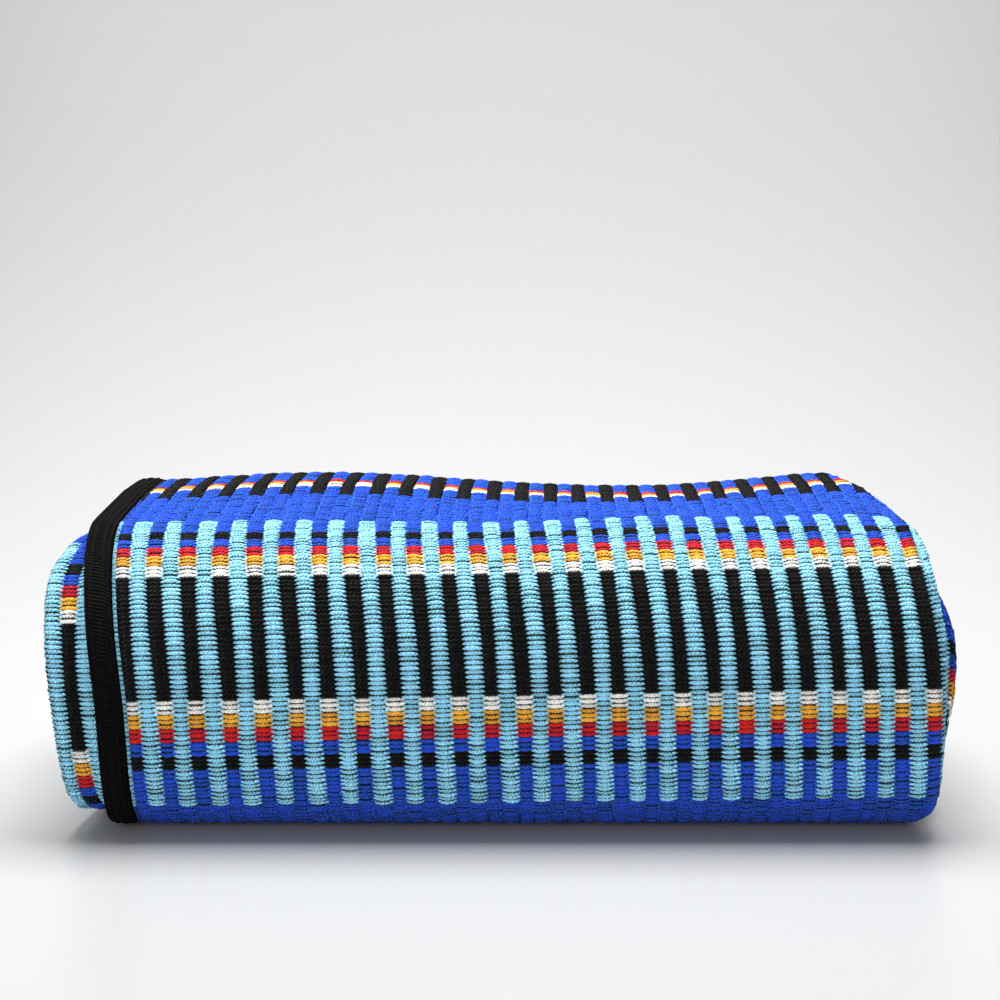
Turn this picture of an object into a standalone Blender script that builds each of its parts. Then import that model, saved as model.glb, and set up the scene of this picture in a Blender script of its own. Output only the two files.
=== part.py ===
"""Throw blanket in a weft-faced rib weave, 1.30 m by 1.80 m, folded as it is put away.

The cloth is folded in thirds across its width, like a letter, and that strip is folded in half three times
along its length. It lies as a pack of eight passes of the strip, 24 layers of cloth in all, one continuous
sheet from free end to free end. The outermost pass runs over the top, down the front and under the pack.
Metres, +Z up. The origin is the middle of the face that it rests on, and the outermost fold faces -Y.
"""

import math

import bpy
import numpy as np

# Cloth
LAYER = 0.0064            # from the middle of one layer to the middle of the next
CLOTH = 0.0053            # thickness over the ribs
RIB = 0.0080              # from one rib to the next
FURROW = 0.0016           # depth of the furrow between two ribs
EDGING_WIDTH = 0.0140     # yarn edging along the bound selvedge
EDGING_CROWN = 0.0012     # how far the edging stands above the ribs where it shows
SEAM = 0.0003             # gap between the edging and the cloth's edge

# Pack
STRIP = 3 * LAYER         # the strip is three layers thick
PASSES = 8
HEIGHT = PASSES * STRIP
DEPTH = 0.250
LIFT = LAYER / 2 - CLOTH / 2                   # the lowest layer's own clearance, taken off so that it rests at 0
FRONT_TURN = -DEPTH / 2 + HEIGHT / 2           # the line that every front fold turns about
OFF_MIDDLE = 0.00225       # how far right of the tables' zero the pack's middle lies, folds and all
SHOULDER_POWER = 2.05                          # how square the front is, 2 being round
FOOT_POWER = 3.6
BACK_LINE = 0.04                               # the line behind the middle where the rises are full

# Where each pass ends at the back, metres behind the middle
BACK_TURN = {1: 0.1064, 2: 0.1064, 3: 0.1150, 4: 0.1080, 5: 0.0878, 6: 0.0878, 7: 0.0878, 8: 0.0878}

# The strip's way through the pack: kind, pass it leaves, pass it reaches, steps, ribs raised on its outer face
COURSE = (
    ("leg to front", 4, 4, 2, False),
    ("front fold", 4, 5, 6, False),
    ("leg to back", 5, 5, 2, False),
    ("back fold", 5, 8, 6, True),
    ("leg to front", 8, 8, 2, True),
    ("front fold", 8, 1, 12, True),
    ("leg to back", 1, 1, 2, False),
    ("back fold", 1, 2, 6, True),
    ("leg to front", 2, 2, 2, False),
    ("front fold", 2, 7, 6, False),
    ("leg to back", 7, 7, 2, False),
    ("back fold", 7, 6, 6, False),
    ("leg to front", 6, 6, 2, False),
    ("front fold", 6, 3, 6, False),
    ("leg to back", 3, 3, 2, False),
)

# How the strip lies, in mm: place (a row of COURSE and the part of it passed), left fold, bound edge, right fold
EDGES = (
    (0.00, -213, -201, 209),
    (1.50, -212, -200, 211),
    (2.50, -216, -203, 208),
    (3.50, -214, -205, 200),
    (4.00, -215, -208, 195),
    (4.50, -215, -210, 203),
    (5.00, -218, -210, 209),
    (5.25, -226, -207, 214),
    (5.38, -227, -204, 218),
    (5.50, -227, -200, 219),
    (5.75, -218, -197, 220),
    (6.00, -209, -196, 215),
    (7.00, -211, -202, 208),
    (8.50, -213, -201, 214),
    (9.00, -214, -196, 228),
    (9.15, -214, -194, 222),
    (9.33, -215, -193, 224),
    (9.45, -216, -193, 228),
    (9.63, -217, -194, 229),
    (9.75, -217, -195, 225),
    (10.0, -218, -199, 216),
    (11.5, -215, -202, 211),
    (12.5, -211, -200, 216),
    (13.5, -215, -201, 215),
    (15.0, -217, -203, 212),
)

# How the stacked layers rise and sag, in mm: place across, rise of the top layer over the front fold, and at the back
RISES = (
    (-240, 0.0, 3.5),
    (-105, 2.6, 9.8),
    (-25, -1.2, 6.0),
    (80, -4.0, 1.6),
    (175, 2.6, 9.6),
    (240, 0.0, 6.0),
)

# Ribs and steps across the strip
FOLD_STEPS = 4            # steps round a fold of a plain section
FRONT_RIBS = 49           # ribs across the outer panel
RIGHT_FOLD_RIBS = 3
LEFT_FOLD_RIBS = 2
UNDER_RIBS = 3            # ribs of the under panel that show beside the edging
EDGING_SIDES = 12
EDGING_SQUARENESS = 0.6   # 1 is an ellipse, 0 a rectangle


def table_value(table, place, column):
    """Read a table between its rows, in metres."""
    rows = np.array(table, dtype=float)
    return np.interp(place, rows[:, 0], rows[:, column]) / 1000


def pass_height(number):
    """Height of the middle of a pass."""
    return (number - 0.5) * STRIP - LIFT


def course_row(index, share):
    """Place and outward direction of the strip's middle at a share of one row of COURSE."""
    kind, leaves, reaches, _, _ = COURSE[index]
    if kind == "leg to front":
        y = BACK_TURN[leaves] + (FRONT_TURN - BACK_TURN[leaves]) * share
        return y, pass_height(leaves), 0.0, 1.0
    if kind == "leg to back":
        y = FRONT_TURN + (BACK_TURN[leaves] - FRONT_TURN) * share
        return y, pass_height(leaves), 0.0, -1.0
    middle = (pass_height(leaves) + pass_height(reaches)) / 2
    radius = abs(pass_height(leaves) - pass_height(reaches)) / 2
    if kind == "front fold":
        centre = FRONT_TURN
        start, end = (90, 270) if leaves > reaches else (270, 90)
    else:
        centre = BACK_TURN[leaves]
        start, end = (90, -90) if leaves > reaches else (-90, 90)
    angle = math.radians(start + (end - start) * share)
    outward = 1 if end > start else -1
    y = centre + radius * math.cos(angle)
    z = middle + radius * math.sin(angle)
    return y, z, outward * math.cos(angle), outward * math.sin(angle)


def course_rows():
    """Every row along the strip: its place in COURSE, its middle and outward direction, and its furrows' depth.

    The depth is None on a plain row, and nothing on the ribbed row where a ribbed stretch starts or ends."""
    rows = []
    before = False
    for index, (_, _, _, steps, ribbed) in enumerate(COURSE):
        for step in range(steps):
            inside = ribbed and (step > 0 or before)
            edge = step == 0 and ribbed != before
            depth = FURROW if inside else 0.0 if edge else None
            rows.append((index + step / steps, *course_row(index, step / steps), depth))
        before = ribbed
    last = len(COURSE) - 1
    rows.append((last + 1.0, *course_row(last, 1.0), None))
    return rows


def settle(x, y, z):
    """The pack's own weight: the front is pressed squarer than a half round, and the layers rise and sag.

    The rises change evenly from the turning line to the line at the back, and fade out towards the foremost point."""
    middle = HEIGHT / 2 - LIFT
    ahead = np.minimum(y - FRONT_TURN, 0.0)
    above = z - middle
    power = np.where(above > 0, SHOULDER_POWER, FOOT_POWER)
    radius = np.hypot(ahead, above)
    squared = (np.abs(ahead) ** power + np.abs(above) ** power) ** (1 / power)
    spread = np.where(ahead < 0, radius / np.maximum(squared, LAYER / 10), 1.0)
    y_new = np.where(ahead < 0, FRONT_TURN + ahead * spread, y)
    z_new = np.where(ahead < 0, middle + above * spread, z)
    whole = np.clip((y_new + DEPTH / 2) / (FRONT_TURN + DEPTH / 2), 0.0, 1.0)
    back = np.clip((y_new - FRONT_TURN) / (BACK_LINE - FRONT_TURN), 0.0, 1.0)
    rise = (1 - back) * table_value(RISES, x * 1000, 1) + back * table_value(RISES, x * 1000, 2)
    z_new = z_new * (1 + whole * rise / HEIGHT)
    return np.stack([x - OFF_MIDDLE, y_new, z_new], axis=-1)


def place(row, section):
    """Carry a section's points, across and outward, to where the row lies in the pack."""
    _, y, z, out_y, out_z, _ = row
    across, outward = section[:, 0], section[:, 1]
    return settle(across, y + outward * out_y, z + outward * out_z)


def panel(start, end, height, side, ribs=0, furrow=0.0, shown=0.0):
    """Points of one face along a flat panel: the pack's bends in RISES, or one crest and one furrow a rib.

    With shown, only that length is ribbed, and the bends of the rest follow."""
    bends = np.array([row[0] for row in RISES[1:-1]]) / 1000
    length = shown if shown else abs(end - start)
    stop = start + math.copysign(length, end - start)
    points = []
    if ribs:
        for step in range(2 * ribs):
            x = start + (stop - start) * step / (2 * ribs)
            points.append((x, height + side * (CLOTH / 2 - (furrow if step % 2 == 0 else 0.0))))
    if not ribs or shown:
        first = stop if ribs else start
        inside = [b for b in bends if min(first, end) < b < max(first, end)]
        inside.sort(reverse=bool(end < start))
        points += [(x, height + side * CLOTH / 2) for x in [first] + inside]
    return points


def turn(centre_x, centre_n, radius, start, end, side, ribs=0, furrow=0.0):
    """Points of one face round a fold, from its start up to but without its end."""
    steps = 2 * ribs if ribs else FOLD_STEPS
    points = []
    for step in range(steps):
        angle = math.radians(start + (end - start) * step / steps)
        reach = radius + side * (CLOTH / 2) - (furrow if step % 2 == 0 else 0.0)
        points.append((centre_x + reach * math.cos(angle), centre_n + reach * math.sin(angle)))
    return points


def cloth_face(row, side):
    """One face of the cloth across the letter-folded strip, from the bound edge to the free selvedge.

    side is 1 for the face that shows and -1 for the other. Each point also has a place from 0 to 5, a unit for
    each panel or fold, by which unlike sections are joined."""
    at, depth = row[0], row[5]
    ribbed = side > 0 and depth is not None
    left = table_value(EDGES, at, 1) + LAYER / 2 + CLOTH / 2
    bound = table_value(EDGES, at, 2) + EDGING_WIDTH + SEAM
    right = table_value(EDGES, at, 3) - LAYER - CLOTH / 2
    ribs = (FRONT_RIBS, RIGHT_FOLD_RIBS, LEFT_FOLD_RIBS, UNDER_RIBS) if ribbed else (0, 0, 0, 0)
    free = right - CLOTH / 2
    furrow = depth if ribbed else 0.0
    shown = UNDER_RIBS * RIB if ribbed else 0.0
    stretches = (
        panel(bound, right, LAYER, side, ribs[0], furrow),
        turn(right, 0.0, LAYER, 90, -90, side, ribs[1], furrow),
        panel(right, left, -LAYER, -side),
        turn(left, -LAYER / 2, LAYER / 2, 270, 90, side, ribs[2], furrow),
        panel(left, free, 0.0, side, ribs[3], furrow, shown) + [(free, side * CLOTH / 2)],
    )
    points, places = [], []
    for number, stretch in enumerate(stretches):
        points += stretch
        run = np.array(stretch)
        along = np.hypot(*np.diff(run, axis=0, prepend=run[:1]).T).cumsum()
        full = along[-1] if number == 4 else along[-1] * len(stretch) / max(len(stretch) - 1, 1)
        if number in (0, 2):
            full = abs(right - (bound if number == 0 else left))
        places += list(number + along / full)
    return np.array(points), np.array(places)


def edging_section(row):
    """Rounded bar of the yarn edging, beside the outer panel's edge."""
    at = row[0]
    bound = table_value(EDGES, at, 2)
    shows = np.interp(at, (3.0, 3.4, 5.6, 5.9), (0.0, 1.0, 1.0, 0.0))
    angles = np.arange(EDGING_SIDES) * 2 * math.pi / EDGING_SIDES
    across = np.sign(np.cos(angles)) * np.abs(np.cos(angles)) ** EDGING_SQUARENESS
    outward = np.sign(np.sin(angles)) * np.abs(np.sin(angles)) ** EDGING_SQUARENESS
    x = bound + EDGING_WIDTH / 2 * (1 + across)
    half = np.where(outward > 0, CLOTH / 2 + EDGING_CROWN * shows, CLOTH / 2)
    return np.stack([x, LAYER + half * outward], axis=-1)


def round_pack(point):
    """How far round the front folds' turning line a point lies: over the top, down the front and back."""
    return math.atan2(FRONT_TURN - point[1], point[2] - HEIGHT / 2) % (2 * math.pi)


def join_faces(points, near, far, near_places, far_places):
    """Triangles between two lines of points: cut squares where both have as many, else in step with their places.

    All squares are cut the same way as seen from outside the pack, so that stacked layers keep their distance."""
    faces = []
    if len(near) == len(far):
        for k in range(len(near) - 1):
            a, b, c, d = near[k], far[k], far[k + 1], near[k + 1]
            onward = round_pack(points[b]) > round_pack(points[a])
            rightward = points[d][0] > points[a][0]
            faces += [(a, b, c), (a, c, d)] if onward == rightward else [(a, b, d), (b, c, d)]
        return faces
    i = j = 0
    while i < len(near) - 1 or j < len(far) - 1:
        near_next = near_places[i + 1] if i < len(near) - 1 else math.inf
        far_next = far_places[j + 1] if j < len(far) - 1 else math.inf
        if near_next <= far_next:
            faces.append((near[i], far[j], near[i + 1]))
            i += 1
        else:
            faces.append((near[i], far[j], far[j + 1]))
            j += 1
    return faces


def add_solid(name, points, faces, colour, roughness):
    """One closed solid with its own material."""
    mesh = bpy.data.meshes.new(name)
    mesh.from_pydata([tuple(p) for p in points], [], faces)
    mesh.validate()
    mesh.shade_smooth()
    mesh.set_sharp_from_angle(angle=math.radians(35))
    material = bpy.data.materials.new(name)
    material.use_nodes = True
    shader = material.node_tree.nodes["Principled BSDF"]
    shader.inputs["Base Color"].default_value = (*colour, 1.0)
    shader.inputs["Roughness"].default_value = roughness
    shader.inputs["Metallic"].default_value = 0.0
    mesh.materials.append(material)
    solid = bpy.data.objects.new(name, mesh)
    collection.objects.link(solid)
    return solid


def build_cloth(rows):
    """The cloth, lofted between unlike sections: plain inside the pack, ribbed where its outer face shows."""
    points, faces, lines = [], [], []
    for row in rows:
        line = {}
        for name, side in (("face", 1), ("back", -1)):
            section, places = cloth_face(row, side)
            first = len(points)
            points += list(place(row, section))
            line[name] = list(range(first, first + len(section)))
            line[name + " places"] = places
        lines.append(line)
    for near, far in zip(lines, lines[1:]):
        faces += join_faces(points, near["face"], far["face"], near["face places"], far["face places"])
        back = join_faces(points, near["back"], far["back"], near["back places"], far["back places"])
        faces += [tuple(reversed(face)) for face in back]
        faces.append((near["face"][0], near["back"][0], far["back"][0], far["face"][0]))
        faces.append((near["back"][-1], near["face"][-1], far["face"][-1], far["back"][-1]))
    for line, flip in ((lines[0], False), (lines[-1], True)):
        hem = [(line["face"][k], line["face"][k + 1], line["back"][k + 1], line["back"][k])
               for k in range(len(line["face"]) - 1)]
        faces += [tuple(reversed(face)) for face in hem] if flip else hem
    return add_solid("blanket_cloth", points, faces, (0.03, 0.12, 0.60), 0.92)


def build_edging(rows):
    """The yarn edging along the bound selvedge, from one end of the cloth to the other."""
    sections = [place(row, edging_section(row)) for row in rows]
    points = [p for section in sections for p in section]
    n = EDGING_SIDES
    faces = [tuple(reversed(range(n)))]
    for r in range(len(rows) - 1):
        for k in range(n):
            after = (k + 1) % n
            faces.append((r * n + k, r * n + after, (r + 1) * n + after, (r + 1) * n + k))
    last = (len(rows) - 1) * n
    faces.append(tuple(range(last, last + n)))
    return add_solid("edge_binding", points, faces, (0.006, 0.006, 0.008), 0.95)


for old in list(bpy.data.objects):
    bpy.data.objects.remove(old, do_unlink=True)
collection = bpy.data.collections.new("throw_blanket")
bpy.context.scene.collection.children.link(collection)

strip_rows = course_rows()
build_cloth(strip_rows)
build_edging(strip_rows)
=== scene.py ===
# %% [markdown]
# # A folded throw blanket in rib weave
#
# The blanket is one piece of heavy cotton cloth. Its weft, the yarn that runs across, covers its warp, so
# the face is a row of round ribs made of short weft bars, called picks. Two wefts take turns: one shows on
# every even rib, the other on every odd rib. That is how the stripes stay broken into short bars of colour.
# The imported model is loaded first. Its solids give the shape in which the cloth lies.

# %% Load the frame
import math

import bpy
import numpy as np
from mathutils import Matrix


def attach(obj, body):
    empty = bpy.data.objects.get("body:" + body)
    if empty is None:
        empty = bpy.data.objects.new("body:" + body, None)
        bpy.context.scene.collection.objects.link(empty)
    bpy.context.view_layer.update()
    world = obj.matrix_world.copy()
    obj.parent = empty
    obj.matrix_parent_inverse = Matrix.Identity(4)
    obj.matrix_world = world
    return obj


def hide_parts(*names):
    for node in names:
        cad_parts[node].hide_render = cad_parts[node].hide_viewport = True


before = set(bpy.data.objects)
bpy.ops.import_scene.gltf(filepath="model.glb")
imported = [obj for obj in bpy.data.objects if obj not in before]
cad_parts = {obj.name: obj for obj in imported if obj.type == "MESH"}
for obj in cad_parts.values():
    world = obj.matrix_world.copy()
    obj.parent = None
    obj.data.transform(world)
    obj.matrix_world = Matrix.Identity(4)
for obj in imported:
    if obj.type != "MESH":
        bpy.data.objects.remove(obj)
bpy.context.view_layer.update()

# %% [markdown]
# ## Sizes
#
# The same driving sizes as the solids have. Everything below is worked out from them. The cloth is 1.30 m
# wide and 1.80 m long. It is folded in thirds across its width and in half three times along its length.

# %% Driving sizes
LAYER = 0.0064            # from the middle of one layer to the middle of the next
CLOTH = 0.0053            # thickness over the ribs
RIB = 0.00792             # from one rib to the next
PICK = 0.00230            # from one pick to the next on the same rib
FURROW = 0.0013           # depth of the furrow between two ribs
GAP = 0.0009              # depth of the dip between two picks
CORE = 0.0013             # how far the cloth's core lies under the picks' crowns
EDGING_WIDTH = 0.0140
EDGING_CROWN = 0.0012
SEAM = 0.0003

STRIP = 3 * LAYER
HEIGHT = 8 * STRIP
DEPTH = 0.250
LIFT = LAYER / 2 - CLOTH / 2
FRONT_TURN = -DEPTH / 2 + HEIGHT / 2
OFF_MIDDLE = 0.00225
SHOULDER_POWER = 2.05
FOOT_POWER = 3.6
BACK_LINE = 0.04          # the line behind the middle where the rises are full

# %% [markdown]
# ## The way of the strip through the pack
#
# The letter-folded strip goes to and fro eight times. A table has one row for each straight leg and each
# fold: the pass it leaves and the pass it reaches, counted from the bottom. A place along the strip is a
# number: 5.5 is halfway through row 5, the big fold at the front.

# %% Tables of the fold
BACK_TURN = {1: 0.1064, 2: 0.1064, 3: 0.1150, 4: 0.1080, 5: 0.0878, 6: 0.0878, 7: 0.0878, 8: 0.0878}
COURSE = (
    ("leg to front", 4, 4),
    ("front fold", 4, 5),
    ("leg to back", 5, 5),
    ("back fold", 5, 8),
    ("leg to front", 8, 8),
    ("front fold", 8, 1),
    ("leg to back", 1, 1),
    ("back fold", 1, 2),
    ("leg to front", 2, 2),
    ("front fold", 2, 7),
    ("leg to back", 7, 7),
    ("back fold", 7, 6),
    ("leg to front", 6, 6),
    ("front fold", 6, 3),
    ("leg to back", 3, 3),
)
# place, left fold, bound edge, right fold, in mm
EDGES = (
    (0.00, -213, -201.5, 209),
    (1.50, -212, -200.5, 211),
    (2.50, -216, -203.5, 208.5),
    (3.50, -214, -205.5, 200.5),
    (4.00, -215, -208.5, 195.5),
    (4.50, -215, -210, 207),
    (5.00, -218, -211, 214),
    (5.14, -225, -210, 218),
    (5.22, -229, -208.5, 218.5),
    (5.38, -227.5, -204.5, 222),
    (5.50, -225.5, -200.5, 221.5),
    (5.60, -223, -199, 221.5),
    (5.75, -219, -197.5, 221),
    (6.00, -213, -196.5, 215),
    (7.00, -211, -202.5, 208.5),
    (8.50, -213, -199.5, 214),
    (9.00, -214, -198, 231.5),
    (9.15, -214, -197.5, 223),
    (9.33, -215, -197.5, 225),
    (9.45, -216, -197.5, 229.5),
    (9.63, -217, -198, 230),
    (9.75, -217, -198, 227),
    (9.85, -217, -199, 221.5),
    (10.0, -218, -200, 224),
    (11.5, -215, -202.5, 211),
    (12.5, -211, -200.5, 216),
    (13.5, -215, -201.5, 215),
    (15.0, -217, -203.5, 212),
)
# place across the pack, rise of the top layer over the front fold, and at the back, in mm
RISES = (
    (-240, 0.0, 3.5),
    (-200, 0.0, 4.5),
    (-150, 0.4, 8.0),
    (-105, 0.4, 9.8),
    (-65, 0.2, 9.0),
    (-25, -0.9, 6.0),
    (15, -0.6, 3.2),
    (50, 1.4, 2.2),
    (85, 2.2, 1.6),
    (115, 1.8, 3.4),
    (150, 2.0, 6.2),
    (180, 3.0, 9.8),
    (205, 1.5, 9.0),
    (240, 0.0, 6.0),
)
LAST_PLACE = len(COURSE)


# %% [markdown]
# Cloth has no corners in its outline, so the tables are read along smooth curves: each table is drawn with
# straight runs first, and every value is then the mean of its neighbourhood.

# %% Smooth tables
def smooth_curve(table, column, reach):
    """A function that reads one column of a table in metres: the mean of its straight runs within reach."""
    rows = np.array(table, dtype=float)
    grid = np.linspace(rows[0, 0], rows[-1, 0], 3001)
    value = np.interp(grid, rows[:, 0], rows[:, column]) / 1000
    half = max(int(reach / (grid[1] - grid[0])), 1)
    window = np.hanning(2 * half + 3)[1:-1]
    padded = np.pad(value, half, mode="edge")
    smooth = np.convolve(padded, window / window.sum(), mode="valid")
    return lambda at: np.interp(at, grid, smooth)


left_fold_at = smooth_curve(EDGES, 1, 0.07)
bound_edge_at = smooth_curve(EDGES, 2, 0.12)
right_fold_at = smooth_curve(EDGES, 3, 0.07)
front_rise = smooth_curve(RISES, 1, 30)
back_rise = smooth_curve(RISES, 2, 30)
print("front of the pack, left to right, mm:",
      [round(float(f(5.5)) * 1000, 1) for f in (left_fold_at, bound_edge_at, right_fold_at)])

# %% [markdown]
# ## The course as a formula
#
# A leg is a straight line and a fold is half a circle. Both are worked out for whole arrays of places at
# once.


# %% Middle of the strip
def pass_height(number):
    """Height of the middle of a pass."""
    return (number - 0.5) * STRIP - LIFT


def leg_or_fold(kind, leaves, reaches):
    """A row of COURSE as numbers: fold or not, y of its centre or start, z, radius or length, two angles."""
    low, high = pass_height(leaves), pass_height(reaches)
    if kind == "leg to front":
        return 0, BACK_TURN[leaves], low, FRONT_TURN - BACK_TURN[leaves], 90, 90
    if kind == "leg to back":
        return 0, FRONT_TURN, low, BACK_TURN[leaves] - FRONT_TURN, -90, -90
    downward = leaves > reaches
    if kind == "front fold":
        start, end = (90, 270) if downward else (270, 90)
        return 1, FRONT_TURN, (low + high) / 2, abs(low - high) / 2, start, end
    start, end = (90, -90) if downward else (-90, 90)
    return 1, BACK_TURN[leaves], (low + high) / 2, abs(low - high) / 2, start, end


COURSE_NUMBERS = np.array([leg_or_fold(*row) for row in COURSE], dtype=float)


def course(at):
    """Middle of the strip (y, z) and its outward direction (y, z) at any place along it.

    On a leg, y runs evenly and the direction is up or down. In a fold, the angle runs evenly from its start
    to its end. The strip is a radius away from the centre, and outward is along the radius or against it."""
    row = np.clip(np.floor(at).astype(int), 0, LAST_PLACE - 1)
    share = at - row
    is_fold, y0, z0, size, start, end = np.moveaxis(COURSE_NUMBERS[row], -1, 0)
    angle = np.radians(start + (end - start) * share)
    sign = np.where(end < start, -1.0, 1.0)
    y = np.where(is_fold > 0, y0 + size * np.cos(angle), y0 + size * share)
    z = np.where(is_fold > 0, z0 + size * np.sin(angle), z0)
    return y, z, sign * np.cos(angle), sign * np.sin(angle)


# %% [markdown]
# ## The letter fold across the strip
#
# Three panels lie on each other: the outer panel, a turn at the right, the inner panel, a tighter turn at
# the left, and the middle panel, which ends inside the right turn. The formula follows the cloth from its
# bound edge, so that a rib keeps its width round both turns.


# %% Letter fold
def letter_fold(cloth, edge, right, left):
    """Across (x) and outward (n) place of the cloth's middle, and the tilt of its face, for metres of cloth.

    Each stretch adds what has been passed of it: x grows over the outer panel, shrinks over the inner one and
    grows again; each turn adds the sine of its angle to x and the change of its cosine to n."""
    outer = right - edge
    past_outer = cloth - outer
    past_right = past_outer - math.pi * LAYER
    past_inner = past_right - (right - left)
    past_left = past_inner - math.pi * LAYER / 2
    right_turn = np.clip(past_outer / LAYER, 0, math.pi)
    left_turn = np.clip(past_inner / (LAYER / 2), 0, math.pi)
    x = edge + np.minimum(cloth, outer) + LAYER * np.sin(right_turn)
    x = x - np.clip(past_right, 0, right - left) - LAYER / 2 * np.sin(left_turn) + np.maximum(past_left, 0)
    n = LAYER * np.cos(right_turn) + LAYER / 2 * (1 - np.cos(left_turn))
    return x, n, right_turn + left_turn


# %% [markdown]
# ## Settling
#
# The pack's weight presses its round front squarer, as a superellipse with a higher power at the foot than
# at the shoulder, and lets the stacked layers rise and sag. The lowest layer lies flat on the floor.


# %% Settle
def settle(x, y, z):
    """Scale each point ahead of the turning line from circle to superellipse, then stretch z by the rises.

    The rises change evenly from the turning line to the back line, and fade out towards the foremost point.
    What would lie under the floor is pressed flat on it."""
    middle = HEIGHT / 2 - LIFT
    ahead = np.minimum(y - FRONT_TURN, 0.0)
    above = z - middle
    power = np.where(above > 0, SHOULDER_POWER, FOOT_POWER)
    squared = (np.abs(ahead) ** power + np.abs(above) ** power) ** (1 / power)
    spread = np.where(ahead < 0, np.hypot(ahead, above) / np.maximum(squared, LAYER / 10), 1.0)
    y = np.where(ahead < 0, FRONT_TURN + ahead * spread, y)
    z = np.where(ahead < 0, middle + above * spread, z)
    whole = np.clip((y + DEPTH / 2) / (FRONT_TURN + DEPTH / 2), 0.0, 1.0)
    back = np.clip((y - FRONT_TURN) / (BACK_LINE - FRONT_TURN), 0.0, 1.0)
    rise = (1 - back) * front_rise(x * 1000) + back * back_rise(x * 1000)
    z = np.maximum(z * (1 + whole * rise / HEIGHT), 0.0)
    return np.stack([x - OFF_MIDDLE, y, z], axis=-1)


def in_pack(across, outward, at):
    """Carry points of the strip's section, across and outward, to where that place of the strip lies."""
    y, z, out_y, out_z = course(at)
    return settle(across, y + outward * out_y, z + outward * out_z)


def fold_lines(at):
    """Where the cloth starts beside the edging, and where its middle turns at the right and at the left."""
    edge = bound_edge_at(at) + EDGING_WIDTH + SEAM
    right = right_fold_at(at) - LAYER - CLOTH / 2
    left = left_fold_at(at) + LAYER / 2 + CLOTH / 2
    return edge, right, left


def cloth_surface(cloth, at, height):
    """Points at a height over the cloth's middle, for metres of cloth from its bound edge and a place."""
    x, n, tilt = letter_fold(cloth, *fold_lines(at))
    return in_pack(x + height * np.sin(tilt), n + height * np.cos(tilt), at)


def cloth_at_left_fold(at):
    """Metres of cloth from the bound edge to where the left turn starts."""
    edge, right, left = fold_lines(at)
    return (right - edge) + math.pi * LAYER + (right - left)


# %% [markdown]
# ## Counting picks
#
# Stripes are counted in picks, so the length along the folded cloth has to be known at every place. It is
# longer on the outside of a fold than on its inside, and it is added up from many short steps.

# %% Lengths along the cloth
PLACES = np.linspace(0, LAST_PLACE, 6001)
NOSE = 5.5                 # the foremost place of the outer fold
UNDER_SHIFT = 0.025        # how much lower the stripes of the under panels lie
SLANT = 0.016              # the picks rise to the right by this much in each metre


def travel(outward):
    """Length along the strip, from the nose, of a line that keeps its outward distance."""
    line = in_pack(np.zeros_like(PLACES), np.full_like(PLACES, outward), PLACES)
    steps = np.linalg.norm(np.diff(line, axis=0), axis=1)
    length = np.concatenate([[0.0], np.cumsum(steps)])
    return length - np.interp(NOSE, PLACES, length)


OUTER_TRAVEL = travel(LAYER)
MIDDLE_TRAVEL = travel(0.0)
BAND_CENTRE = -0.030       # from the nose to the middle of the wide band, along the outer panel


def picks_at(at, n, shift):
    """Pick number at a place: the length there, less the band's centre and the panel's shift, in picks."""
    middle = np.interp(at, PLACES, MIDDLE_TRAVEL)
    outer = np.interp(at, PLACES, OUTER_TRAVEL)
    return (middle + n / LAYER * (outer - middle) - BAND_CENTRE - shift) / PICK


def place_of_pick(picks, n, shift):
    """The place along the strip of each pick number, for columns that each have their n and shift."""
    table = [picks_at(PLACES, n_col, shift_col) for n_col, shift_col in zip(n, shift)]
    return np.stack([np.interp(column, numbers, PLACES) for column, numbers in zip(picks.T, table)], axis=1)


print(f"cloth along the strip {MIDDLE_TRAVEL[-1] - MIDDLE_TRAVEL[0]:.3f} m")

# %% [markdown]
# ## Ribs and picks in relief
#
# A pick is a short bar, thick in the middle of its rib and dipping into the furrows. Odd ribs show the
# other weft, so their picks sit half a step further along, and the grid's columns are shifted with them:
# every gap falls on a row of points. Each pick pushes a little into the gap of the rib beside it, so a
# rib's edge is a zigzag. No two picks are quite alike: a seeded table of small numbers raises, lowers and
# moves each one.

# %% Relief of the weave
COLUMNS_A_RIB = (0.0, 0.2, 0.5, 0.8)
RIB_BACK = (0.0, 0.74, 1.0, 0.74)
ROWS_A_PICK = (0.0, 0.15, 0.5, 0.85)
PICK_BACK = (0.0, 0.74, 1.0, 0.74)
UNEVEN_HEIGHT = 0.50
UNEVEN_PLACE = 0.13        # of a pick
UNEVEN_ACROSS = 0.00040
WANDER = 0.0004            # how far a rib strays from a straight line
ZIGZAG = 0.15              # of a rib: how far a pick pushes into the gap of the next rib
DRIFT = 0.0027             # how far the ribs lie to the left below the foremost place
DRIFT_PLACES = (5.38, 5.60, 6.60, 6.90)    # it comes between the first two places and goes between the others
RIBS_TO_DRIFT = 7          # ribs from the edging to where the drift is full
RANDOM = np.random.default_rng(27).uniform(-1, 1, (3, 256, 1024))
# rib number, and mm of cloth from the bound edge to its start: the edging covers part of the first, and those
# on the left are a little wider than those on the right
RIB_STARTS = (
    (0, 0.0),
    (1, 1.9),
    (2, 8.5),
    (3, 16.9),
    (5, 33.3),
    (8, 58.6),
    (12, 91.6),
    (17, 132.1),
    (23, 179.9),
    (29, 227.2),
    (36, 282.1),
    (42, 328.6),
    (48, 374.6),
    (56, 436.6),
    (60, 468.0),
)


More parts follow.
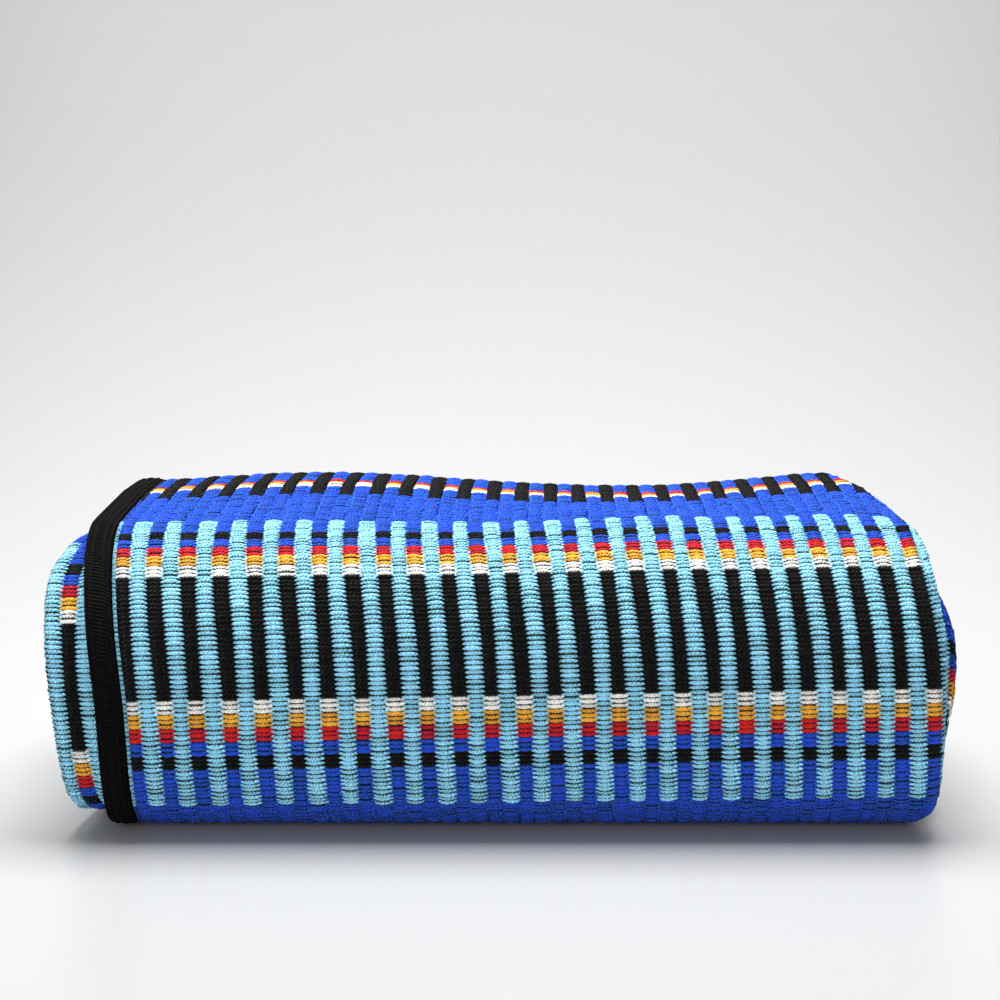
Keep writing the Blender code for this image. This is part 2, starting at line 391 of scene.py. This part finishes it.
def cloth_of_rib(rib, at):
    """Metres of cloth from the bound edge: the table's value, less the drift where the strip turns under."""
    numbers, starts = np.array(RIB_STARTS).T
    below = np.interp(at, DRIFT_PLACES, (0.0, 1.0, 1.0, 0.0))
    off_edge = np.clip((rib - 1) / RIBS_TO_DRIFT, 0.0, 1.0)
    return np.interp(rib, numbers, starts) / 1000 - DRIFT * below * off_edge


def rib_height(rib):
    """Height of a rib's round back, from 0 in the furrow to 1 on the crown."""
    return np.interp(rib % 1, (*COLUMNS_A_RIB, 1.0), (*RIB_BACK, 0.0))


def rib_columns(first, last):
    """Rib numbers of the columns, and how far each lags: half a pick on odd ribs, a quarter in furrows."""
    ribs = np.append(np.add.outer(np.arange(first, last), COLUMNS_A_RIB).ravel(), last)
    lag = np.where(ribs % 1 == 0, 0.25, 0.5 * (np.floor(ribs) % 2))
    return ribs, lag


def relief(rows, ribs):
    """Height over the cloth's middle on the grid: the rib's round back, less the dip between two picks."""
    back = rib_height(ribs)[None, :]
    bar = np.tile(PICK_BACK, len(rows) // 4 + 1)[:len(rows), None]
    uneven = 1 + UNEVEN_HEIGHT * chance(0, rows, ribs)
    return CLOTH / 2 - FURROW * (1 - back) - GAP * (1 - bar * uneven) * back


def chance(layer, rows, ribs):
    """The seeded small number of the pick that each point of the grid belongs to."""
    rib, pick = np.floor(ribs).astype(int) % 256, np.floor(rows).astype(int) % 1024
    return RANDOM[layer][rib[None, :], pick[:, None]]


# %% [markdown]
# ## From a grid of points to a mesh
#
# Every new piece is a grid of points: rows along the cloth, columns across it. Each vertex keeps two
# numbers in the UV map called weave: its rib number and its pick number. The material reads its stripes
# from these, so the colours follow the cloth into every fold.


# %% Mesh from a grid
def grid_faces(rows, columns, ring=False):
    """Four-cornered faces of a grid, facing outward; a ring also joins the last column to the first."""
    across = columns if ring else columns - 1
    i, j = np.meshgrid(np.arange(rows - 1), np.arange(across), indexing="ij")
    i, j = i.ravel(), j.ravel()
    after = (j + 1) % columns
    start, end = i * columns, (i + 1) * columns
    return np.stack([start + j, end + j, end + after, start + after], 1)


def mesh_object(name, points, faces, weave, caps=()):
    """A smooth-shaded object from points, quads, the weave coordinates of each point, and flat end caps."""
    mesh = bpy.data.meshes.new(name)
    corners = np.concatenate([faces.ravel(), *[np.asarray(cap) for cap in caps]]).astype(np.int32)
    sizes = np.concatenate([np.full(len(faces), 4), [len(cap) for cap in caps]]).astype(np.int32)
    mesh.vertices.add(len(points))
    mesh.vertices.foreach_set("co", points.astype(np.float32).ravel())
    mesh.loops.add(len(corners))
    mesh.loops.foreach_set("vertex_index", corners)
    mesh.polygons.add(len(sizes))
    mesh.polygons.foreach_set("loop_start", np.concatenate([[0], np.cumsum(sizes)[:-1]]).astype(np.int32))
    mesh.polygons.foreach_set("loop_total", sizes)
    mesh.update(calc_edges=True)
    layer = mesh.uv_layers.new(name="weave")
    layer.data.foreach_set("uv", weave[corners].astype(np.float32).ravel())
    mesh.shade_smooth()
    mesh.validate()
    piece = bpy.data.objects.new(name, mesh)
    bpy.context.scene.collection.objects.link(piece)
    print(f"{name}: {len(points)} points, {(sizes - 2).sum()} triangles")
    return piece


# %% [markdown]
# ## The cloth
#
# One closed sheet for the whole blanket, from free end to free end, through all 24 layers. Its face carries
# the ribs. It is the core that the picks lie on, so where they lie it is a little thinner than the cloth.

# %% Columns and rows of the cloth
RIGHT_RIBS = 56            # ribs from the bound edge to just past the right turn
LEFT_RIB = 105             # number of the rib whose furrow lies in front of the left turn
LEFT_FURROW = 0.0035       # metres of cloth from the left turn's start line to that furrow
UNDER_RIBS = (-2, 4)       # ribs that are anchored to the left turn, from that furrow
FREE_RIB = 158
PICKS_STOP = (6.02, 6.12, 6.88, 6.98)      # under the pack the core is the whole cloth, without picks on it
HEM_SHARE = 0.02           # of a leg: where the hem at a free end starts to thin
HEM_LEAST = 0.12           # the square of its thickness at its very end, as a share
ROW_STEPS = {"leg to front": 8, "leg to back": 8, "front fold": 24, "back fold": 18}

right_ribs = rib_columns(0, RIGHT_RIBS)[0]
left_ribs = rib_columns(*UNDER_RIBS)[0]
plain = np.linspace(0, 1, 20)[1:-1]

cloth_places = np.concatenate(
    [index + np.arange(ROW_STEPS[row[0]]) / ROW_STEPS[row[0]] for index, row in enumerate(COURSE)]
    + [[LAST_PLACE - 1e-6]]
)
print(len(cloth_places), "rows,", len(right_ribs) + len(left_ribs) + 2 * len(plain), "columns on the face")


def cloth_of_column(at, columns):
    """Metres of cloth and rib number of each column.

    Some are counted from the bound edge, some from the left turn, and the others are spread between them."""
    _, right, left = fold_lines(at)
    turn = cloth_at_left_fold(at) + math.pi * LAYER / 2
    free = turn + (right - CLOTH / 2 - left)
    from_right, between, from_left, rest = columns
    near = cloth_of_rib(from_right[None, :], at)
    under = turn + LEFT_FURROW + from_left[None, :] * RIB
    first, last = near[:, -1:], under[:, :1]
    inner = first + (last - first) * between[None, :]
    outer = under[:, -1:] + (free - under[:, -1:]) * rest[None, :]
    cloth = np.concatenate([near, inner, under, outer], axis=1)
    ribs = np.concatenate([
        from_right,
        from_right[-1] + (LEFT_RIB + from_left[0] - from_right[-1]) * between,
        LEFT_RIB + from_left,
        LEFT_RIB + from_left[-1] + (FREE_RIB - LEFT_RIB - from_left[-1]) * rest,
    ])
    return cloth, ribs


# %% Build the cloth
def shift_of_cloth(cloth, at):
    """How far the stripes have slipped: nothing on the outer panel, all of it from the left turn on."""
    start = right_fold_at(at) - LAYER - CLOTH / 2 - bound_edge_at(at) - EDGING_WIDTH
    return UNDER_SHIFT * np.clip((cloth - start) / (cloth_at_left_fold(at) - start), 0, 1)


def woven_coordinates(cloth, at, ribs):
    """Rib and pick number of each point of a face."""
    x, n, _ = letter_fold(cloth, *fold_lines(at))
    picks = picks_at(at, n, shift_of_cloth(cloth, at)) + SLANT * x / PICK
    return np.stack([np.broadcast_to(ribs, cloth.shape), picks], axis=-1)


at = cloth_places[:, None]
covered = np.interp(at, PICKS_STOP, (1, 0, 0, 1))
face_cloth, face_ribs = cloth_of_column(at, (right_ribs, plain, left_ribs, np.append(plain, 1.0)))
hem = np.clip(np.minimum(at, LAST_PLACE - at) / HEM_SHARE, HEM_LEAST, 1.0) ** 0.5
face_height = hem * (CLOTH / 2 - CORE * covered - FURROW * (1 - rib_height(face_ribs)))
back_cloth, back_ribs = cloth_of_column(
    at, (np.linspace(0, RIGHT_RIBS, 40), plain, left_ribs[::2], np.append(plain, 1.0)))
back_height = -hem * (CLOTH / 2 - FURROW / 2) * np.ones_like(back_cloth)

face_points = cloth_surface(face_cloth, at, face_height)
back_points = cloth_surface(back_cloth, at, back_height)
ring = np.concatenate([face_points, back_points[:, ::-1]], axis=1)
face_woven = woven_coordinates(face_cloth, at, face_ribs)
back_woven = woven_coordinates(back_cloth, at, back_ribs)
woven = np.concatenate([face_woven, back_woven[:, ::-1]], axis=1)
rows, columns = ring.shape[:2]
caps = (np.arange(columns)[::-1], (rows - 1) * columns + np.arange(columns))
cloth_piece = mesh_object(
    "folded_cloth", ring.reshape(-1, 3), grid_faces(rows, columns, ring=True), woven.reshape(-1, 2), caps)

# %% [markdown]
# ## The picks that show
#
# Where the cloth can be seen, every pick is modelled: the same fold formula, on a grid with four rows to a
# pick and four columns to a rib, lifted by the relief. The surface is cut into pieces of less than 200,000
# triangles. A row of the table gives each piece's ribs, its first and last place along the strip, and
# whether its ribs are counted from the bound edge or from the left turn.

# %% Picks
WEAVE_PIECES = (
    ("picks_front", "bound edge", 0, 55, 4.98, 5.62),
    ("picks_foot", "bound edge", 0, 55, 5.62, 6.14),
    ("picks_top", "bound edge", 0, 55, 4.0, 4.98),
    ("picks_back", "bound edge", 0, 55, 2.96, 4.0),
    ("picks_back_foot", "bound edge", 0, 55, 6.88, 8.04),
    ("picks_left_fold", "left turn", -2, 4, 0.02, 14.98),
    ("picks_right_fold_start", "bound edge", 46, 55, 0.02, 2.96),
    ("picks_right_fold_end", "bound edge", 46, 55, 8.04, 14.98),
)


def build_picks(name, counted, first_rib, last_rib, start, end):
    """The relief of the weave over part of the cloth's face.

    Each row of points has a pick number and each column a rib number. The pick number gives the place along
    the strip, the rib number gives the metres of cloth, and the small random numbers move both."""
    ribs, lag = rib_columns(first_rib, last_rib)
    usual = np.array([[NOSE]])
    if counted == "bound edge":
        typical = cloth_of_rib(ribs, NOSE)
    else:
        anchored = LEFT_FURROW + ribs * RIB
        typical = anchored + cloth_at_left_fold(usual)[0, 0] + math.pi * LAYER / 2
        ribs = ribs + LEFT_RIB
        lag = np.where(lag == 0.25, lag, 0.5 - lag if LEFT_RIB % 2 else lag)
    x, n, _ = letter_fold(typical, *fold_lines(NOSE))
    shift = shift_of_cloth(typical, usual)[0] - SLANT * x
    first = math.floor(picks_at(start, 0.0, 0.0))
    last = math.floor(picks_at(end, 0.0, 0.0))
    rows = np.append(np.add.outer(np.arange(first, last), ROWS_A_PICK).ravel(), last)
    picks = rows[:, None] - lag[None, :]
    on_rib = rib_height(ribs)[None, :]
    inside = (rows % 1 > 0)[:, None]
    moved = picks + UNEVEN_PLACE * chance(1, rows, ribs) * on_rib * inside
    places = np.clip(place_of_pick(moved, n, shift), 1e-6, LAST_PLACE - 1e-6)
    if counted == "left turn":
        cloth = anchored + cloth_at_left_fold(places) + math.pi * LAYER / 2
    else:
        cloth = cloth_of_rib(ribs[None, :], places)
    wander = WANDER * np.sin(0.11 * picks + 1.7 * np.floor(ribs)) * (ribs > 1)
    wander = wander + ZIGZAG * RIB * np.cos(2 * math.pi * picks) * np.cos(math.pi * ribs) * (ribs > 1)
    cloth = cloth + wander + UNEVEN_ACROSS * chance(2, rows, ribs) * on_rib * inside
    points = cloth_surface(cloth, places, relief(rows, ribs))
    rows_made, columns_made = points.shape[:2]
    woven = np.stack([np.broadcast_to(ribs, picks.shape), picks], axis=-1)
    return mesh_object(name, points.reshape(-1, 3), grid_faces(rows_made, columns_made), woven.reshape(-1, 2))


pick_pieces = [build_picks(*row) for row in WEAVE_PIECES]

# %% [markdown]
# ## The yarn edging
#
# A band of close black stitches runs along the bound selvedge. Its section is a rounded bar. Five columns
# of slanting stitches are raised on its outer side, where it shows, and the bar is plain inside the pack.

# %% Edging
STITCH = 0.0019
STITCH_COLUMNS = 5
STITCH_RELIEF = 0.0010
OUTER_SIDES = 41
INNER_SIDES = 8
EDGING_SQUARENESS = 0.62
STITCH_SLOPE = 0.9         # how far a stitch slants over its column, in stitches
SHOWS_FROM_TO = (3.0, 3.4, 5.6, 5.9, 7.0, 7.2, 7.8, 8.0)    # places where its crown grows, stays and fades
ROWS_A_STITCH = (3.0, 0.4)                 # where the edging shows, and elsewhere


def edging_section(at):
    """Rounded bar, across and outward, and how far over its outer side each point lies, from 0 to 1.

    Cosine and sine of the way round, raised to a power under 1, fill a rectangle's corners."""
    over, under = np.linspace(math.pi, 0, OUTER_SIDES), np.linspace(0, -math.pi, INNER_SIDES + 2)[1:-1]
    way = np.concatenate([over, under])
    cos, sin = np.cos(way), np.sin(way)
    across = np.sign(cos) * np.abs(cos) ** EDGING_SQUARENESS
    outward = np.sign(sin) * np.abs(sin) ** EDGING_SQUARENESS
    shows = np.interp(at, SHOWS_FROM_TO, (0, 1, 1, 0, 0, 1, 1, 0))
    x = bound_edge_at(at) + EDGING_WIDTH / 2 * (1 + across)
    half = np.where(outward > 0, CLOTH / 2 + EDGING_CROWN * shows, CLOTH / 2)
    side = np.where(way >= 0, (1 - np.cos(way)) * -0.5 + 1, 0.0)
    return x, LAYER + half * outward, np.broadcast_to(1 - side, x.shape), across, outward


def edging_rows():
    """Places of the rows: three to a stitch where the edging shows, and two to every five elsewhere."""
    stitch = (OUTER_TRAVEL - OUTER_TRAVEL[0]) / STITCH
    shown = ((PLACES > 3.0) & (PLACES < 6.05)) | ((PLACES > 6.95) & (PLACES < 8.0))
    rate = np.where(shown, *ROWS_A_STITCH)
    count = np.concatenate([[0.0], np.cumsum(np.diff(stitch) * rate[1:])])
    number = np.arange(math.floor(count[-1]) + 1)
    return np.interp(number, count, PLACES)


edging_places = np.clip(edging_rows(), 1e-6, LAST_PLACE - 1e-6)[:, None]
x, n, side, across, outward = edging_section(edging_places)
stitch = (np.interp(edging_places, PLACES, OUTER_TRAVEL) - OUTER_TRAVEL[0]) / STITCH
column = side * STITCH_COLUMNS
slope = STITCH_SLOPE * (column % 1 - 0.5)
turned = stitch + 0.5 * (np.floor(column) % 2) + slope
raised = STITCH_RELIEF * np.sin(math.pi * (column % 1)) ** 0.7 * np.abs(np.sin(math.pi * turned)) ** 0.6
raised = np.where(outward > 0.05, raised - STITCH_RELIEF * 0.6, 0.0)
points = in_pack(x + raised * across, n + raised * outward, edging_places)
rows, columns = points.shape[:2]
ring_faces = grid_faces(rows, columns, ring=True)
caps = (np.arange(columns)[::-1], (rows - 1) * columns + np.arange(columns))
edging_uv = np.stack([column, np.broadcast_to(turned, column.shape)], axis=-1)
edging_piece = mesh_object("yarn_edging", points.reshape(-1, 3), ring_faces, edging_uv.reshape(-1, 2), caps)

# %% [markdown]
# ## Materials
#
# One function turns an sRGB hex value to linear colour, and one adds a node with its settings and links.


# %% Helpers for materials
def linear(hex_value):
    """sRGB hex to linear RGBA: a short straight part near black, and a power of 2.4 above it."""
    srgb = np.array([int(hex_value[k:k + 2], 16) for k in (1, 3, 5)]) / 255
    rgb = np.where(srgb <= 0.04045, srgb / 12.92, ((srgb + 0.055) / 1.055) ** 2.4)
    return (*[float(c) for c in rgb], 1.0)


def add_node(tree, kind, inputs, output=0, **settings):
    """Add a node with its settings, a value or a link for each named input; returns the output asked for."""
    node = tree.nodes.new(kind)
    for name, value in settings.items():
        setattr(node, name, value)
    for socket, value in inputs.items():
        if isinstance(value, bpy.types.NodeSocket):
            tree.links.new(value, node.inputs[socket])
        else:
            node.inputs[socket].default_value = value
    return node.outputs[output]


# %% [markdown]
# ### Cotton weft
#
# The yarn is plied, dyed cotton: quite matt, with a faint bloom of loose fibre at its edges. Colours are
# solid and strong because the weft hides the warp. Each pick takes the dye a little differently, and its
# plies break the light into short slanting strokes, which are painted into the colour as light and shade.
# The dark gaps between picks are painted shade over the weft hidden in them. The stripes are two short
# tables, one for each weft, of a colour and its number of picks. They run from the middle of the wide band
# to the middle of the next band, and then back, because each band is the same on both sides of its middle.
# Both halves share the pick in the middle, so it counts as half a pick.

# %% Stripes
STRAND = 0.0018            # from one ply of a yarn to the next, drawn a little coarse so that it shows
SKY, ROYAL, RED = "#96DEFA", "#2253CC", "#D01F30"
YELLOW, WHITE, BLACK = "#F5B040", "#FCFAF4", "#040406"
EVEN_WEFT = ((SKY, 37.5), (ROYAL, 27), (BLACK, 46))
ODD_WEFT = (
    (BLACK, 13.5), (WHITE, 3), (YELLOW, 3), (RED, 3), (ROYAL, 3), (BLACK, 3), (ROYAL, 45),
    (WHITE, 3), (YELLOW, 3), (RED, 3), (ROYAL, 28),
)
HALF_REPEAT = float(sum(count for _, count in EVEN_WEFT))
print("picks from band to band:", HALF_REPEAT, sum(count for _, count in ODD_WEFT))


# %% Cotton material
def cotton_weft(name, pick_bump):
    """Matt plied cotton in picks: stripes from the weave coordinates, painted shade in gaps, a twist, and
    loose fibre.
    """
    material = bpy.data.materials.new(name)
    material.use_nodes = True
    tree = material.node_tree
    shader = tree.nodes["Principled BSDF"]
    maths = "ShaderNodeMath"

    # which rib and which pick a point belongs to: odd ribs are half a pick further on
    weave = add_node(tree, "ShaderNodeUVMap", {}, uv_map="weave")
    rib = add_node(tree, "ShaderNodeSeparateXYZ", {0: weave}, "X")
    pick = rib.node.outputs["Y"]
    rib_number = add_node(tree, maths, {0: rib}, operation="FLOOR")
    odd = add_node(tree, maths, {0: rib_number, 1: 2.0}, operation="FLOORED_MODULO")
    step = add_node(tree, maths, {0: odd, 1: 0.5, 2: pick}, operation="MULTIPLY_ADD")
    pick_number = add_node(tree, maths, {0: step}, operation="FLOOR")

    # how far the pick is from the middle of its band, as a share of the half repeat
    onward = add_node(tree, maths, {0: pick_number, 1: HALF_REPEAT}, operation="ADD")
    passed = add_node(tree, maths, {0: onward, 1: 2 * HALF_REPEAT}, operation="FLOORED_MODULO")
    past_middle = add_node(tree, maths, {0: passed, 1: HALF_REPEAT}, operation="SUBTRACT")
    distance = add_node(tree, maths, {0: past_middle}, operation="ABSOLUTE")
    place = add_node(tree, maths, {0: distance, 1: HALF_REPEAT}, operation="DIVIDE")
    colours = []
    for weft in (EVEN_WEFT, ODD_WEFT):
        colours.append(add_node(tree, "ShaderNodeValToRGB", {"Fac": place}))
        ramp = colours[-1].node.color_ramp
        ramp.interpolation = "CONSTANT"
        ramp.elements.remove(ramp.elements[1])
        counted = 0
        for colour, count in weft:
            element = ramp.elements.new(counted / HALF_REPEAT) if counted else ramp.elements[0]
            element.color = linear(colour)
            counted += count
    stripes = add_node(tree, "ShaderNodeMix", {0: odd, 6: colours[0], 7: colours[1]}, 2, data_type="RGBA")

    # across is 0 on the crown and 1 in the furrow, along is 0 in the middle of a pick and 1 in the gap
    rib_share = add_node(tree, maths, {0: rib}, operation="FRACT")
    off_crown = add_node(tree, maths, {0: rib_share, 1: 2.0, 2: -1.0}, operation="MULTIPLY_ADD")
    across = add_node(tree, maths, {0: off_crown}, operation="ABSOLUTE")
    step_share = add_node(tree, maths, {0: step}, operation="FRACT")
    off_centre = add_node(tree, maths, {0: step_share, 1: 2.0, 2: -1.0}, operation="MULTIPLY_ADD")
    along = add_node(tree, maths, {0: off_centre}, operation="ABSOLUTE")

    # each pick has its own number, for its dye, its width and its twist
    seed = add_node(tree, "ShaderNodeCombineXYZ", {"X": rib_number, "Y": pick_number})
    chance = add_node(tree, "ShaderNodeTexWhiteNoise", {"Vector": seed}, noise_dimensions="2D")
    own = add_node(tree, maths, {0: chance, 1: 0.5}, operation="SUBTRACT")

    # a pick is a lens: the gap to the next one is narrow on the crown and wide at the furrow
    narrowing = add_node(tree, maths, {0: across, 1: 2.2}, operation="POWER")
    lens_edge = add_node(tree, maths, {0: narrowing, 1: -0.34, 2: 0.80}, operation="MULTIPLY_ADD")
    # two plies twisted round each other run aslant over the pick, with loose fibre and a few worn flecks
    position = add_node(tree, "ShaderNodeTexCoord", {}, "Object")
    fibre = add_node(tree, "ShaderNodeTexNoise", {"Vector": position, "Scale": 1300.0, "Detail": 3.0})
    twist = add_node(tree, maths, {0: rib, 1: 2 * math.pi * RIB / STRAND}, operation="MULTIPLY")
    slant = add_node(tree, maths, {0: step, 1: 2 * math.pi * 0.8, 2: twist}, operation="MULTIPLY_ADD")
    turned = add_node(tree, maths, {0: own, 1: 5.0, 2: slant}, operation="MULTIPLY_ADD")
    strand = add_node(tree, maths, {0: turned}, operation="SINE")
    own_edge = add_node(tree, maths, {0: own, 1: 0.24, 2: lens_edge}, operation="MULTIPLY_ADD")
    ragged = add_node(tree, maths, {0: strand, 1: 0.09, 2: own_edge}, operation="MULTIPLY_ADD")
    past_edge = add_node(tree, maths, {0: along, 1: ragged}, operation="SUBTRACT")
    gap = add_node(tree, "ShaderNodeMapRange", {"Value": past_edge, "From Min": -0.13, "From Max": 0.13},
                   interpolation_type="SMOOTHSTEP")
    tone = add_node(tree, maths, {0: own, 1: 0.40, 2: 0.56}, operation="MULTIPLY_ADD")
    # painted light and shade: the slanting strokes of the plies, lighter and darker as the light falls on
    # them
    tone = add_node(tree, maths, {0: strand, 1: 0.24, 2: tone}, operation="MULTIPLY_ADD")
    tone = add_node(tree, maths, {0: fibre, 1: 1.00, 2: tone}, operation="MULTIPLY_ADD")
    # painted shade in the gaps between picks, over the darker weft hidden in them: every colour is darkened
    # there
    gap_shade_and_hidden_weft = add_node(tree, maths, {0: gap, 1: -0.93, 2: 1.0}, operation="MULTIPLY_ADD")
    tone_and_painted_shade = add_node(tree, maths, {0: tone, 1: gap_shade_and_hidden_weft}, operation="MULTIPLY")
    hue = add_node(tree, maths, {0: own, 1: 0.012, 2: 0.5}, operation="MULTIPLY_ADD")
    toned = add_node(tree, "ShaderNodeHueSaturation", {"Hue": hue, "Value": tone_and_painted_shade, "Color": stripes})
    tree.links.new(toned, shader.inputs["Base Color"])

    # relief: the twist and the fibre, and on the core also the round of each pick
    fallen = add_node(tree, maths, {0: across, 1: across}, operation="MULTIPLY")
    round_rib = add_node(tree, maths, {0: 1.0, 1: fallen}, operation="SUBTRACT")
    round_pick = add_node(tree, maths, {0: 1.0, 1: gap}, operation="SUBTRACT")
    body = add_node(tree, maths, {0: round_rib, 1: round_pick}, operation="MULTIPLY")
    height = add_node(tree, maths, {0: fibre, 1: 0.9}, operation="MULTIPLY")
    height = add_node(tree, maths, {0: strand, 1: 0.45, 2: height}, operation="MULTIPLY_ADD")
    height = add_node(tree, maths, {0: body, 1: pick_bump, 2: height}, operation="MULTIPLY_ADD")
    bump = add_node(tree, "ShaderNodeBump", {"Strength": 0.9, "Distance": 0.0010, "Height": height})
    tree.links.new(bump, shader.inputs["Normal"])
    shader.inputs["Roughness"].default_value = 0.90
    shader.inputs["Specular IOR Level"].default_value = 0.10
    shader.inputs["Sheen Weight"].default_value = 0.07
    shader.inputs["Sheen Roughness"].default_value = 0.4
    return material


weft_material = cotton_weft("cotton_weft_picks", 0.0)
core_material = cotton_weft("cotton_weft_core", 1.0)
cloth_piece.data.materials.append(core_material)
for piece in pick_pieces:
    piece.data.materials.append(weft_material)


# %% [markdown]
# ### Black edging yarn
#
# Black cotton is not quite black: it is a deep grey with a soft shine where the stitches catch the light.

# %% Edging material
def black_yarn(name):
    """Matt black cotton: painted shade between stitches, a little paler on some, with loose fibre over all.
    """
    material = bpy.data.materials.new(name)
    material.use_nodes = True
    tree = material.node_tree
    shader = tree.nodes["Principled BSDF"]
    maths = "ShaderNodeMath"

    # across is 0 in the middle of a column of stitches, along is 0 in the middle of a stitch
    weave = add_node(tree, "ShaderNodeUVMap", {}, uv_map="weave")
    column = add_node(tree, "ShaderNodeSeparateXYZ", {0: weave}, "X")
    stitch = column.node.outputs["Y"]
    column_share = add_node(tree, maths, {0: column}, operation="FRACT")
    off_column = add_node(tree, maths, {0: column_share, 1: 2.0, 2: -1.0}, operation="MULTIPLY_ADD")
    across = add_node(tree, maths, {0: off_column, 1: off_column}, operation="MULTIPLY")
    stitch_share = add_node(tree, maths, {0: stitch}, operation="FRACT")
    off_stitch = add_node(tree, maths, {0: stitch_share, 1: 2.0, 2: -1.0}, operation="MULTIPLY_ADD")
    along = add_node(tree, maths, {0: off_stitch, 1: off_stitch}, operation="MULTIPLY")
    fallen = add_node(tree, maths, {0: across, 1: along}, operation="ADD")
    crown = add_node(tree, maths, {0: 1.0, 1: fallen}, operation="SUBTRACT", use_clamp=True)

    # its own paleness for each stitch, and loose fibre over all
    column_number = add_node(tree, maths, {0: column}, operation="FLOOR")
    stitch_number = add_node(tree, maths, {0: stitch}, operation="FLOOR")
    seed = add_node(tree, "ShaderNodeCombineXYZ", {"X": column_number, "Y": stitch_number})
    own = add_node(tree, "ShaderNodeTexWhiteNoise", {"Vector": seed}, noise_dimensions="2D")
    position = add_node(tree, "ShaderNodeTexCoord", {}, "Object")
    fibre = add_node(tree, "ShaderNodeTexNoise", {"Vector": position, "Scale": 900.0, "Detail": 4.0})
    pale = add_node(tree, maths, {0: own, 1: fibre}, operation="MULTIPLY")
    # painted highlight and shade: only the crown of each stitch takes the paler grey, so the gaps between
    # stitches stay black
    tone = add_node(tree, maths, {0: pale, 1: crown}, operation="MULTIPLY")
    black, pale_and_highlight_grey = linear("#020203"), linear("#17171B")
    colour = add_node(tree, "ShaderNodeMix", {0: tone, 6: black, 7: pale_and_highlight_grey}, 2, data_type="RGBA")
    tree.links.new(colour, shader.inputs["Base Color"])
    height = add_node(tree, maths, {0: fibre, 1: 1.4, 2: crown}, operation="MULTIPLY_ADD")
    bump = add_node(tree, "ShaderNodeBump", {"Strength": 1.0, "Distance": 0.0012, "Height": height})
    tree.links.new(bump, shader.inputs["Normal"])
    shader.inputs["Roughness"].default_value = 0.90
    shader.inputs["Specular IOR Level"].default_value = 0.12
    return material


edging_piece.data.materials.append(black_yarn("black_cotton_edging"))

# %% [markdown]
# ## Floor, light and camera
#
# The blanket lies on a pale, slightly glossy surface that curves up into a plain backdrop. A large soft
# light hangs over it, a little behind its middle, so that the foot of the pack and the floor before it are
# in shade. A low one in front lights the stripes without lighting the floor, and a third lights the
# backdrop.

# %% Floor
FLOOR_WIDTH = 9.0
SWEEP_START = 0.5
SWEEP_RADIUS = 2.6


def backdrop_profile():
    """Flat floor, a quarter circle, then a straight wall: y and z along the way."""
    turn = np.radians(np.linspace(-90, 0, 25))
    y = np.concatenate([[-4.0], SWEEP_START + SWEEP_RADIUS * np.cos(turn), [SWEEP_START + SWEEP_RADIUS]])
    z = np.concatenate([[0.0], SWEEP_RADIUS + SWEEP_RADIUS * np.sin(turn), [5.0]])
    return y, z


profile_y, profile_z = backdrop_profile()
side_x = np.array([-FLOOR_WIDTH / 2, FLOOR_WIDTH / 2])
sweep = np.stack(np.broadcast_arrays(side_x[None, :], profile_y[:, None], profile_z[:, None]), axis=-1)
floor = mesh_object("studio_floor", sweep.reshape(-1, 3), grid_faces(len(profile_y), 2)[:, ::-1],
                    np.zeros((len(profile_y) * 2, 2)))
paint = bpy.data.materials.new("pale_studio_paint")
paint.use_nodes = True
paint_shader = paint.node_tree.nodes["Principled BSDF"]
paint_shader.inputs["Base Color"].default_value = linear("#B2B2B2")
paint_shader.inputs["Roughness"].default_value = 0.30
paint_shader.inputs["Specular IOR Level"].default_value = 0.35
floor.data.materials.append(paint)

# %% Light
world = bpy.data.worlds.new("studio")
bpy.context.scene.world = world
world.use_nodes = True
world.node_tree.nodes["Background"].inputs["Color"].default_value = linear("#F4F5F8")
world.node_tree.nodes["Background"].inputs["Strength"].default_value = 0.30


def soft_light(name, place, aim, size, power):
    """A square area light at a place, turned to aim at a point."""
    light = bpy.data.lights.new(name, "AREA")
    light.size = size
    light.energy = power
    lamp = bpy.data.objects.new(name, light)
    bpy.context.scene.collection.objects.link(lamp)
    direction = np.array(aim) - np.array(place)
    level = math.hypot(direction[0], direction[1])
    lamp.location = place
    lamp.rotation_euler = (math.atan2(level, -direction[2]), 0.0, math.atan2(-direction[0], direction[1]))
    return lamp


soft_light("overhead", (0.0, 0.26, 1.6), (0.0, 0.0, 0.1), 1.1, 59)
soft_light("front_fill", (-0.6, -2.2, 0.6), (0.0, 0.0, 0.1), 1.0, 25)
soft_light("backdrop_light", (0.0, 2.2, 2.6), (0.0, 3.0, 1.2), 2.4, 46)

# %% [markdown]
# The camera is where the photograph's rib spacing puts it: the ribs on top are narrower than those in front
# by as much as they are further away. It stands 1.2 m in front of the pack and 0.32 m over the floor,
# tilted down.

# %% Camera
FOCAL_PIXELS = 2413.0
IMAGE_PIXELS = 1000.0
HORIZON_ABOVE_CENTRE = 300.0
camera_data = bpy.data.cameras.new("camera")
camera_data.sensor_width = 36.0
camera_data.lens = 36.0 * FOCAL_PIXELS / IMAGE_PIXELS
camera = bpy.data.objects.new("camera", camera_data)
bpy.context.scene.collection.objects.link(camera)
camera.location = (-OFF_MIDDLE, -DEPTH / 2 - 1.1656, 0.3173)
camera.rotation_euler = (math.pi / 2 - math.atan(HORIZON_ABOVE_CENTRE / FOCAL_PIXELS), 0.0, 0.0)
bpy.context.scene.camera = camera
bpy.context.scene.view_settings.view_transform = "Standard"

# %% [markdown]
# ## What belongs to what
#
# Every piece rides on the one body. The new pieces stand for the solids that the physics keeps.

for piece in [cloth_piece, edging_piece, *pick_pieces]:
    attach(piece, "root")
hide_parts("blanket_cloth")
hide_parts("edge_binding")
